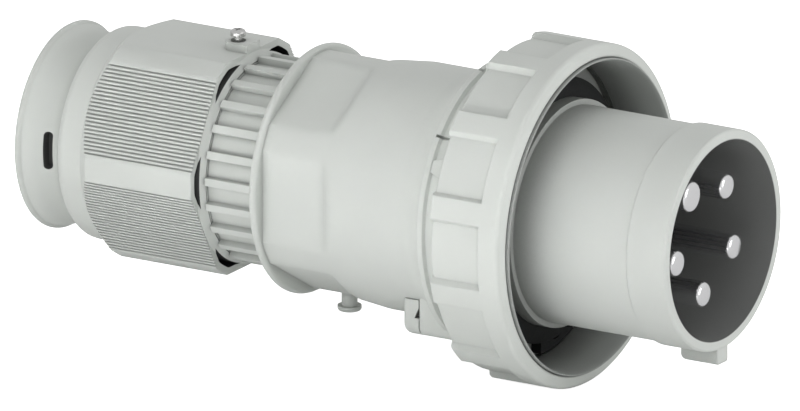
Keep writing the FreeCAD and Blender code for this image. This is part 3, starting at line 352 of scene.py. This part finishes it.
def smooth_rounds(piece, sharp_deg=32.0):
    bm = bmesh.new()
    bm.from_mesh(piece.data)
    for face in bm.faces:
        face.smooth = True
    for edge in bm.edges:
        edge.smooth = len(edge.link_faces) == 2 and edge.calc_face_angle() < math.radians(sharp_deg)
    bm.to_mesh(piece.data)
    bm.free()


# Five contact pins, turned from brass and nickel plated. The lathe leaves very fine
# rings round them, and the plating is bright.
def bright_metal(name, colour, rough, ring_scale):
    material = bpy.data.materials.new(name)
    material.use_nodes = True
    nodes, links = material.node_tree.nodes, material.node_tree.links
    surface = nodes["Principled BSDF"]
    surface.inputs["Metallic"].default_value = 1.0
    surface.inputs["Base Color"].default_value = list(colour) + [1.0]
    place = nodes.new("ShaderNodeTexCoord")
    stretch = nodes.new("ShaderNodeMapping")
    stretch.inputs["Scale"].default_value = (ring_scale, 8.0, 8.0)
    rings = nodes.new("ShaderNodeTexNoise")
    rings.inputs["Scale"].default_value = 4.0
    rings.inputs["Detail"].default_value = 2.0
    links.new(place.outputs["Object"], stretch.inputs["Vector"])
    links.new(stretch.outputs[0], rings.inputs["Vector"])
    gloss_range = nodes.new("ShaderNodeMapRange")
    gloss_range.inputs["To Min"].default_value = rough * 0.7
    gloss_range.inputs["To Max"].default_value = rough * 1.3
    links.new(rings.outputs["Fac"], gloss_range.inputs["Value"])
    links.new(gloss_range.outputs[0], surface.inputs["Roughness"])
    soft_edge = nodes.new("ShaderNodeBevel")
    soft_edge.samples = 6
    soft_edge.inputs["Radius"].default_value = 0.8 * MM
    relief = nodes.new("ShaderNodeBump")
    relief.inputs["Strength"].default_value = 0.03
    relief.inputs["Distance"].default_value = 0.05 * MM
    links.new(soft_edge.outputs[0], relief.inputs["Normal"])
    links.new(rings.outputs["Fac"], relief.inputs["Height"])
    links.new(relief.outputs[0], surface.inputs["Normal"])
    return material


pin_plating = bright_metal("pin_plating", (0.86, 0.86, 0.87), 0.16, 300.0)
PIN_CIRCLE_R = 21.6
PIN_TIP_X = -6.3
PIN_FOOT_X = -61.2
PIN_TIP_ROUND = 1.5
BARREL_R = 7.7
BARREL_FRONT_X = -72.0
BARREL_END_X = -114.0
WIRE_BORE_R = 5.6
pins = (("pin_earth", -30.0, 6.0), ("pin_line_1", 42.0, 5.0), ("pin_line_2", 114.0, 5.0),
        ("pin_line_3", 186.0, 5.0), ("pin_neutral", 258.0, 5.0))
for pin_node, pin_clock, pin_r in pins:
    tip = [(PIN_TIP_X - PIN_TIP_ROUND + PIN_TIP_ROUND * math.cos(math.radians(a)),
            pin_r - PIN_TIP_ROUND + PIN_TIP_ROUND * math.sin(math.radians(a))) for a in range(0, 91, 15)]
    barrel = [(PIN_FOOT_X, pin_r), (PIN_FOOT_X, pin_r - 0.4), (BARREL_FRONT_X, pin_r - 0.4), (BARREL_FRONT_X, BARREL_R),
              (BARREL_END_X, BARREL_R), (BARREL_END_X, WIRE_BORE_R), (BARREL_END_X + 22.0, WIRE_BORE_R)]
    pin = turned_piece(pin_node + "_turned", tip + barrel, closed=False, steps=64)
    pin.data.transform(Matrix.Translation(axis_point(0.0, PIN_CIRCLE_R, pin_clock)))
    smooth_rounds(pin)
    pin.data.materials.append(pin_plating)
    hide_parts(pin_node)
    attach(pin, "housing")


# Screws. The terminal, carrier, flange and lock screws are steel with a zinc plate
# that is duller than the pins.
zinc_plate = bright_metal("zinc_plate", (0.62, 0.62, 0.61), 0.3, 200.0)
finish_nodes(["terminal_screws", "carrier_screws", "flange_screws", "lock_screw"], zinc_plate)


# Rubber pieces. The flange gasket, the cord ring in the spigot and the cable grommet
# are black rubber with a dull, faintly powdery skin.
black_rubber = moulded_plastic("black_rubber", (0.015, 0.016, 0.016), grain=0.15, rough=0.75)
finish_nodes(["housing_seal", "seal_grommet"], black_rubber)


# Flange gasket, punched from thick black rubber. It lies on the flange round the foot
# of the shroud, swells round the four flange screws and is open over their heads.
GASKET_FRONT_X = -73.6
GASKET_REAR_X = -81.7
GASKET_R = 50.1
GASKET_BORE_R = 42.95
EAR_R = 55.9
gasket = turned_piece("flange_seal", [
    (GASKET_FRONT_X - 0.5, GASKET_R), (GASKET_REAR_X, GASKET_R), (GASKET_REAR_X, GASKET_BORE_R),
    (GASKET_FRONT_X + 2.4, GASKET_BORE_R), (GASKET_FRONT_X + 2.0, GASKET_BORE_R + 0.8), (GASKET_FRONT_X, GASKET_R - 0.5),
], closed=True)
for screw_clock in (170.0, 260.0, 350.0, 440.0):
    ear_clocks = [screw_clock - 12.0 + 2.0 * k for k in range(13)]
    ear_outline = [(GASKET_R - 2.0, c) for c in ear_clocks] + [(EAR_R, c) for c in reversed(ear_clocks)]
    ear_points = [(r * math.sin(math.radians(c)), r * math.cos(math.radians(c))) for r, c in ear_outline]
    combine(gasket, drawn_bar("gasket_ear", ear_points, -77.5, GASKET_REAR_X), "UNION")
    screw_y, screw_z = 49.8 * math.sin(math.radians(screw_clock)), 49.8 * math.cos(math.radians(screw_clock))
    hole_points = [(screw_y + 3.7 * math.cos(math.radians(15 * k)), screw_z + 3.7 * math.sin(math.radians(15 * k))) for k in range(24)]
    combine(gasket, drawn_bar("gasket_hole", hole_points, GASKET_FRONT_X + 4, GASKET_REAR_X - 1), "DIFFERENCE")
smooth_rounds(gasket)
gasket.data.materials.append(black_rubber)
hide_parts("flange_gasket")
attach(gasket, "housing")


# Bayonet liner, a grey sleeve of glass-filled plastic pressed into the ring. Its two
# ledges lie where the shroud and the ring hide them from the front.
LINER_R = 59.6
LINER_FRONT_X = -56.5
LINER_REAR_X = -78.7
LINER_REAR_BORE_R = 57.2
LEDGE_BORE_R = 50.4
liner = turned_piece("bayonet_sleeve", [
    (LINER_FRONT_X, LINER_R - 0.5), (LINER_FRONT_X, LINER_R - 0.2), (LINER_FRONT_X - 0.2, LINER_R),
    (LINER_REAR_X, LINER_R), (LINER_REAR_X, LINER_REAR_BORE_R), (LINER_FRONT_X - 1.2, LINER_R - 1.2),
], closed=True)
for first_clock in (72.0, 252.0):
    clocks = [first_clock + 80.0 * k / 20 for k in range(21)]
    ledge_outline = [(LEDGE_BORE_R, c) for c in clocks[2:-2]] + [(LINER_REAR_BORE_R + 0.6, c) for c in reversed(clocks)]
    ledge_points = [(r * math.sin(math.radians(c)), r * math.cos(math.radians(c))) for r, c in ledge_outline]
    combine(liner, drawn_bar("ledge", ledge_points, LINER_REAR_X + 4.2, LINER_REAR_X + 0.01), "UNION")
smooth_rounds(liner)
liner_plastic = moulded_plastic("liner_plastic", (0.36, 0.375, 0.36), grain=0.08, rough=0.55, corner_reach=16 * MM)
liner.data.materials.append(liner_plastic)
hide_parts("bayonet_liner")
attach(liner, "ring")


# Locking ring, moulded in the same pale grey as the housings, with twelve ribs and
# sunk panels that give the hand a grip.
ring_plastic = moulded_plastic("ring_plastic", PALE_GREY, corner_reach=3 * MM, corner_dark=0.6, edge=0.7 * MM)
finish_nodes(["locking_ring"], ring_plastic)


# Rear housing with its two catches. The neck and its ribs get deeper painted shade in
# their recesses than the smooth grip, which carries faint flow marks from the mould.
housing_plastic = moulded_plastic("housing_plastic", PALE_GREY, corner_reach=5 * MM, corner_dark=0.35)
finish_nodes(["housing_catch_left", "housing_catch_right"], housing_plastic)
grip_plastic = moulded_plastic("grip_plastic", PALE_GREY, corner_reach=5 * MM, corner_dark=0.4)
grip_nodes, grip_links = grip_plastic.node_tree.nodes, grip_plastic.node_tree.links
rear_end, grip_parts = wider_rounding(grip_plastic, "X", -172.4, -171.0, 0.35 * MM, 6.0 * MM)
front_end = grip_nodes.new("ShaderNodeMapRange")
front_end.inputs["From Min"].default_value = -122 * MM
front_end.inputs["From Max"].default_value = -112 * MM
front_end.inputs["To Min"].default_value = 6.0 * MM
front_end.inputs["To Max"].default_value = 0.35 * MM
grip_links.new(grip_parts.outputs["X"], front_end.inputs["Value"])
off_stud = grip_nodes.new("ShaderNodeMapRange")
off_stud.inputs["To Min"].default_value = 6.0 * MM
off_stud.inputs["To Max"].default_value = 0.35 * MM
grip_place = grip_nodes.new("ShaderNodeTexCoord")
grip_links.new(radius_mask(grip_plastic, grip_place.outputs["Object"], 46.8, 47.4), off_stud.inputs["Value"])
ends = grip_nodes.new("ShaderNodeMath")
ends.operation = "MINIMUM"
grip_links.new(rear_end.outputs[0], ends.inputs[0])
grip_links.new(front_end.outputs[0], ends.inputs[1])
rounding = grip_nodes.new("ShaderNodeMath")
rounding.operation = "MINIMUM"
grip_links.new(ends.outputs[0], rounding.inputs[0])
grip_links.new(off_stud.outputs[0], rounding.inputs[1])
grip_links.new(rounding.outputs[0], grip_nodes["soft_edge"].inputs["Radius"])
# Painted shade is deeper on the neck, behind x = -178 mm, and mild on the grip in front of x = -172 mm.
neck_shade_depth = grip_nodes.new("ShaderNodeMapRange")
neck_shade_depth.inputs["From Min"].default_value = -178 * MM
neck_shade_depth.inputs["From Max"].default_value = -172 * MM
neck_shade_depth.inputs["To Min"].default_value = 0.25
neck_shade_depth.inputs["To Max"].default_value = 0.75
grip_links.new(grip_parts.outputs["X"], neck_shade_depth.inputs["Value"])
grip_links.new(neck_shade_depth.outputs[0], grip_nodes["painted_shade_strength"].inputs["To Min"])
finish_nodes(["rear_housing"], grip_plastic)


# Clamping cage and thrust ring, plain grey mouldings inside the neck.
cage_plastic = moulded_plastic("cage_plastic", (0.3, 0.31, 0.3), grain=0.08, rough=0.55)
finish_nodes(["clamp_cage", "thrust_ring"], cage_plastic)


# Gland nut. A hexagon with flat corners, fine grooves on four faces, a front face
# that slopes forward to the neck, six crescent pockets, and the boss of the lock screw.
NUT_HUB_X = -200.8
NUT_FRONT_X = -203.0
NUT_REAR_X = -265.4
NUT_APOTHEM = 41.0
NUT_CORNER_R = 45.05
NUT_STRIP_DEG = 11.3
NUT_BORE_R = 37.6
GROOVES = 24
GROOVE_TOP = 0.72
GROOVE_FLOOR = 0.42
GROOVE_DEPTH = 0.62
half_face = NUT_CORNER_R * math.sin(math.radians(30.0 - NUT_STRIP_DEG / 2))
nut_points = []
for face_deg in range(0, 360, 60):
    local_points = [(-half_face, NUT_APOTHEM)]
    if face_deg in (60, 120, 240, 300):
        for k in range(GROOVES):
            middle = -half_face + 2 * half_face * (k + 1) / (GROOVES + 1)
            local_points.append((middle - GROOVE_TOP / 2, NUT_APOTHEM))
            local_points.append((middle - GROOVE_FLOOR / 2, NUT_APOTHEM - GROOVE_DEPTH))
            local_points.append((middle + GROOVE_FLOOR / 2, NUT_APOTHEM - GROOVE_DEPTH))
            local_points.append((middle + GROOVE_TOP / 2, NUT_APOTHEM))
    local_points.append((half_face, NUT_APOTHEM))
    turn = math.radians(face_deg)
    for across, height in local_points:
        nut_points.append((across * math.cos(turn) + height * math.sin(turn),
                           height * math.cos(turn) - across * math.sin(turn)))
nut = drawn_bar("gland_nut_body", nut_points, NUT_HUB_X, NUT_REAR_X)
shoulder = [(NUT_REAR_X + 4.5 - 4.5 * math.sin(math.radians(9 * k)),
             35.5 + 4.5 * math.cos(math.radians(9 * k))) for k in range(11)]
envelope = turned_piece("nut_envelope", [
    (NUT_HUB_X + 0.001, 30.0), (NUT_HUB_X + 0.001, NUT_BORE_R + 0.1), (NUT_FRONT_X, 40.5), (NUT_FRONT_X, 44.65),
    (NUT_FRONT_X - 0.8, 46.0), (-247.7, 46.0), (-253.7, 40.0)] + shoulder + [(NUT_REAR_X, 30.0)], closed=False)
combine(nut, envelope, "INTERSECT")
BOSS_R = 4.8
BOSS_TOP_Z = 44.0
LOCK_SCREW_X = -209.6
bm = bmesh.new()
boss_outline = [(NUT_FRONT_X - 0.001, BOSS_R), (NUT_FRONT_X - 0.001, -BOSS_R)]
boss_outline += [(LOCK_SCREW_X - BOSS_R * math.sin(math.radians(9 * k)), -BOSS_R * math.cos(math.radians(9 * k))) for k in range(21)]
boss_low = [bm.verts.new((x * MM, y * MM, (NUT_APOTHEM - 1) * MM)) for x, y in boss_outline]
boss_top = [bm.verts.new((x * MM, y * MM, BOSS_TOP_Z * MM)) for x, y in boss_outline]
bm.faces.new(boss_low)
bm.faces.new(list(reversed(boss_top)))
for k in range(len(boss_outline)):
    m = (k + 1) % len(boss_outline)
    bm.faces.new((boss_low[k], boss_low[m], boss_top[m], boss_top[k]))
combine(nut, piece_from(bm, "boss"), "UNION")
bore = turned_piece("nut_bore", [
    (NUT_HUB_X + 2, NUT_BORE_R), (-207.8, NUT_BORE_R), (-209.3, 35.7), (-236.3, 35.7), (-236.3, 34.0),
    (-246.5, 34.0), (-246.5, 27.5), (-249.2, 27.5), (-249.2, 31.9), (NUT_REAR_X - 2, 31.9)], closed=False)
combine(nut, bore, "DIFFERENCE")
POCKET_INNER_R = 39.7
POCKET_OUTER_R = 42.2
POCKET_APOTHEM = 38.35
for corner_deg in range(30, 390, 60):
    pocket = []
    for k in range(-10, 11):
        lean = 1.5 * k
        pocket.append((min(POCKET_APOTHEM / math.cos(math.radians(30.0 - abs(lean))), POCKET_OUTER_R), lean))
    pocket += [(POCKET_INNER_R - 0.02, 1.5 * k) for k in range(10, -11, -1)]
    pocket_points = [(r * math.sin(math.radians(corner_deg + t)), r * math.cos(math.radians(corner_deg + t))) for r, t in pocket]
    combine(nut, drawn_bar("pocket", pocket_points, NUT_HUB_X + 1, NUT_FRONT_X - 12.0), "DIFFERENCE")


def upright_rod(name, x, radius, low_z, high_z, steps=40):
    bm = bmesh.new()
    rod_low = [bm.verts.new(((x + radius * math.cos(2 * math.pi * k / steps)) * MM,
                             radius * math.sin(2 * math.pi * k / steps) * MM, low_z * MM)) for k in range(steps)]
    rod_top = [bm.verts.new((v.co.x, v.co.y, high_z * MM)) for v in rod_low]
    bm.faces.new(rod_low)
    bm.faces.new(list(reversed(rod_top)))
    for k in range(steps):
        m = (k + 1) % steps
        bm.faces.new((rod_low[k], rod_low[m], rod_top[m], rod_top[k]))
    return piece_from(bm, name)


combine(nut, upright_rod("screw_recess", LOCK_SCREW_X, 3.05, 40.0, 46.0), "DIFFERENCE")
combine(nut, upright_rod("screw_thread", LOCK_SCREW_X, 1.6, 32.0, 42.0), "DIFFERENCE")
smooth_rounds(nut)
nut_plastic = moulded_plastic("nut_plastic", PALE_GREY, grain=0.02, corner_reach=3 * MM, corner_dark=0.6, edge=0.15 * MM)
nut.data.materials.append(nut_plastic)
pocket_shade = moulded_plastic("pocket_shade", (0.08, 0.082, 0.08), grain=0.05, rough=0.7)
nut.data.materials.append(pocket_shade)
# Painted shade: the faces of the grooves are painted a darker grey.
painted_groove_shade = moulded_plastic("painted_groove_shade", (0.47, 0.488, 0.467), grain=0.02, rough=0.7, corner_dark=0.8, edge=0.1 * MM)
nut.data.materials.append(painted_groove_shade)
# Painted shade: faces in the crescent pockets take the near-black pocket_shade, faces in the grooves the darker groove
# grey.
for face in nut.data.polygons:
    middle = face.center / MM
    out = math.hypot(middle.y, middle.z)
    clock = math.degrees(math.atan2(middle.y, middle.z)) % 60.0
    in_pocket = POCKET_INNER_R - 0.1 < out < POCKET_OUTER_R + 0.1 and 14.5 < clock < 45.5
    if in_pocket and -215.2 < middle.x < NUT_FRONT_X + 0.9 and abs(face.normal.x) < 0.5 or in_pocket and -215.2 < middle.x < -214.5:
        face.material_index = 1
    towards = math.radians(60.0 * round(math.degrees(math.atan2(middle.y, middle.z)) / 60.0))
    height = middle.y * math.sin(towards) + middle.z * math.cos(towards)
    across = middle.y * math.cos(towards) - middle.z * math.sin(towards)
    in_groove = NUT_APOTHEM - GROOVE_DEPTH - 0.1 < height < NUT_APOTHEM - 0.05 and abs(across) < half_face - 0.1
    if in_groove and -253.0 < middle.x < NUT_FRONT_X and abs(face.normal.x) < 0.3:
        face.material_index = 2
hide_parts("gland_nut")
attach(nut, "nut")


# Bell mouth, snapped into the nut. Its wall flares in one sweep to a rounded rim, and
# each side has an oblong pocket that is closed at its floor.
BELL_SLOT_X = -271.6
BELL_SLOT_HALF = 1.55
SLOT_FLOOR_R = 30.6
bell = turned_piece("bell_mouth_body", [
    (-249.8, 29.3), (-249.8, 31.8), (-253.2, 31.8), (-253.2, 32.2), (-253.8, 32.6), (-255.8, 32.6), (-255.8, 31.8),
    (-266.0, 31.8), (-267.5, 31.95), (-269.0, 32.3), (-270.3, 32.8), (-271.6, 33.45), (-272.9, 34.2), (-274.2, 35.0),
    (-275.4, 35.8), (-276.5, 36.45), (-277.8, 37.1), (-279.0, 37.5), (-280.1, 37.7), (-280.5, 37.9), (-280.8, 38.5),
    (-281.4, 38.9), (-282.2, 38.9), (-282.9, 38.5), (-283.2, 37.9), (-283.1, 37.4), (-282.6, 37.0), (-281.2, 36.4),
    (-279.6, 35.4), (-278.2, 34.0), (-276.8, 32.2), (-275.4, 30.6), (-274.0, 29.6), (-272.8, 29.3)], closed=True)
slot_half_deg = 9.9
for side_clock in (-90.0, 90.0):
    bm = bmesh.new()
    loop = []
    for k in range(0, 13):
        a = math.radians(-90.0 + 180.0 * k / 12)
        loop.append((BELL_SLOT_X + BELL_SLOT_HALF * math.sin(a), slot_half_deg + math.degrees(BELL_SLOT_HALF * math.cos(a) / 34.0)))
    for k in range(0, 13):
        a = math.radians(90.0 + 180.0 * k / 12)
        loop.append((BELL_SLOT_X + BELL_SLOT_HALF * math.sin(a), -slot_half_deg + math.degrees(BELL_SLOT_HALF * math.cos(a) / 34.0)))
    floor_verts = [bm.verts.new(axis_point(x, SLOT_FLOOR_R, side_clock + t)) for x, t in loop]
    top_verts = [bm.verts.new(axis_point(x, 40.0, side_clock + t)) for x, t in loop]
    bm.faces.new(floor_verts)
    bm.faces.new(list(reversed(top_verts)))
    for k in range(len(loop)):
        m = (k + 1) % len(loop)
        bm.faces.new((floor_verts[k], floor_verts[m], top_verts[m], top_verts[k]))
    combine(bell, piece_from(bm, "slot"), "DIFFERENCE")
smooth_rounds(bell)
bell_plastic = moulded_plastic("bell_plastic", PALE_GREY, corner_reach=6 * MM, corner_dark=0.45, edge=0.8 * MM)
bell.data.materials.append(bell_plastic)
bell.data.materials.append(pocket_shade)
for face in bell.data.polygons:
    middle = face.center / MM
    near_side = abs(math.degrees(math.atan2(abs(middle.y), middle.z)) - 90.0) < 13.0
    in_slot = near_side and abs(middle.x - BELL_SLOT_X) < BELL_SLOT_HALF + 0.05
    if in_slot and (math.hypot(middle.y, middle.z) < SLOT_FLOOR_R + 0.5 or abs((face.normal).dot(Vector((0.0, middle.y, middle.z)).normalized())) < 0.2) and math.hypot(middle.y, middle.z) > 29.5:
        face.material_index = 1
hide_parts("bell_mouth")
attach(bell, "gland")
